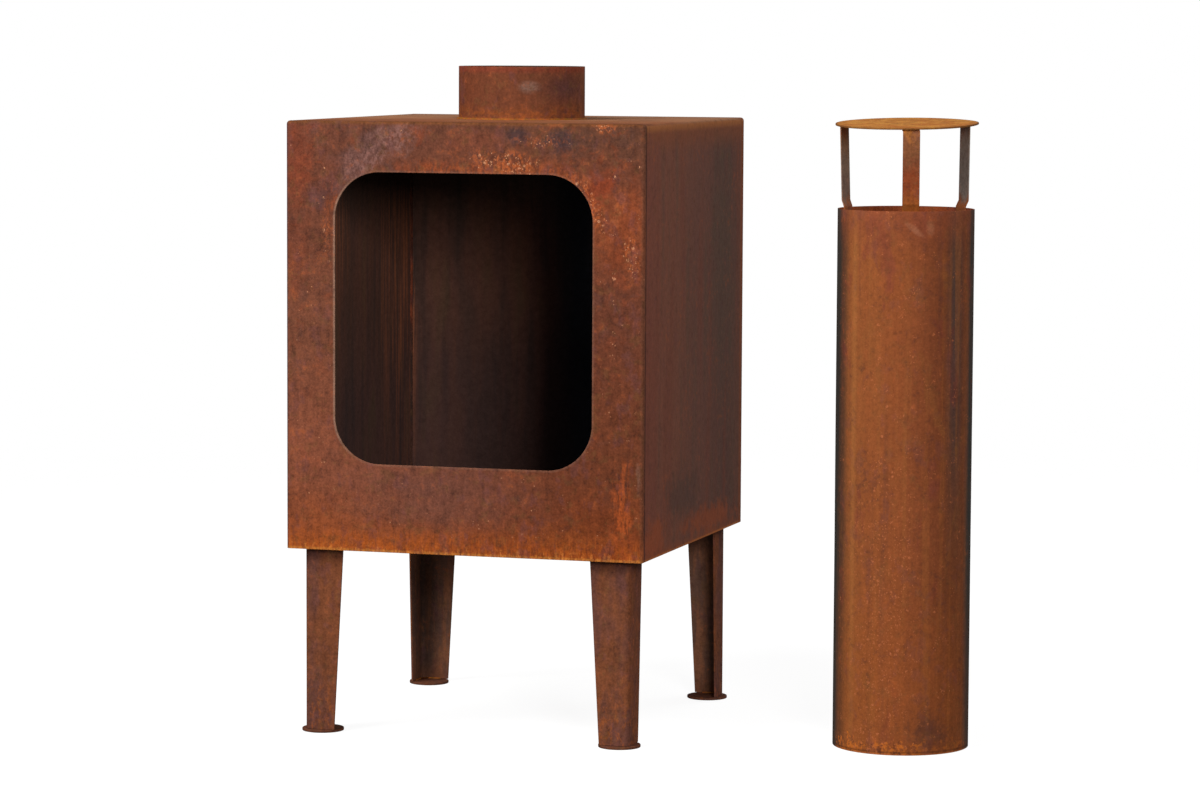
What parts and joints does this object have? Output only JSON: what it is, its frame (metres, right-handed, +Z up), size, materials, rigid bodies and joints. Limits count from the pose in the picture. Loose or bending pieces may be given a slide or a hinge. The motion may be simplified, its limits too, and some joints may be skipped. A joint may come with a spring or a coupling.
{
  "type": "chiminea",
  "caption": "Square weathering-steel garden wood burner on folded legs, with an open round-cornered front and a top collar, and its stove-pipe flue with a rain cap standing beside it.",
  "frame": {"origin": "on the ground, under the middle of the box that holds the firebox and the flue beside it", "axes": "+Z up; -Y is the open front of the firebox; +X is the side where the loose flue stands"},
  "size_m": [0.751, 0.415, 0.746],
  "materials": {
    "casing": "weathering steel, matt red-brown rust with orange bloom at the edges",
    "inside": "weathering steel, dark sooted rust",
    "collar": "weathering steel, matt orange-brown rust",
    "legs": "weathering steel, matt red-brown rust",
    "flue": "weathering steel, warm orange-brown rust with soft upright streaks",
    "cap": "weathering steel, fresh ochre rust",
    "straps": "weathering steel, brown rust with bluish mill scale",
    "fasteners": "plain steel, dull brown rust"
  },
  "bodies": {
    "firebox": {"casing": "casing", "front_panel": "casing", "back_panel": "casing", "floor_plate": "inside", "flue_collar": "collar", "leg_front_left": "legs", "leg_front_right": "legs", "leg_back_right": "legs", "leg_back_left": "legs", "foot_front_left": "legs", "foot_front_right": "legs", "foot_back_right": "legs", "foot_back_left": "legs", "leg_bolt_front_left_1": "fasteners", "leg_bolt_front_left_2": "fasteners", "leg_bolt_front_right_1": "fasteners", "leg_bolt_front_right_2": "fasteners", "leg_bolt_back_right_1": "fasteners", "leg_bolt_back_right_2": "fasteners", "leg_bolt_back_left_1": "fasteners", "leg_bolt_back_left_2": "fasteners", "leg_nut_front_left_1": "fasteners", "leg_nut_front_left_2": "fasteners", "leg_nut_front_right_1": "fasteners", "leg_nut_front_right_2": "fasteners", "leg_nut_back_right_1": "fasteners", "leg_nut_back_right_2": "fasteners", "leg_nut_back_left_1": "fasteners", "leg_nut_back_left_2": "fasteners"},
    "flue": {"flue_pipe": "flue"},
    "cap": {"cap_disc": "cap", "cap_strap_front": "straps", "cap_strap_right": "straps", "cap_strap_left": "straps"}
  },
  "joints": [
    {"name": "flue_lift", "type": "slide", "parent": "firebox", "child": "flue", "axis": [0, 0, 1], "range_m": [0, 0.76]},
    {"name": "cap_lift", "type": "slide", "parent": "flue", "child": "cap", "axis": [0, 0, 1], "range_m": [0, 0.06]}
  ]
}
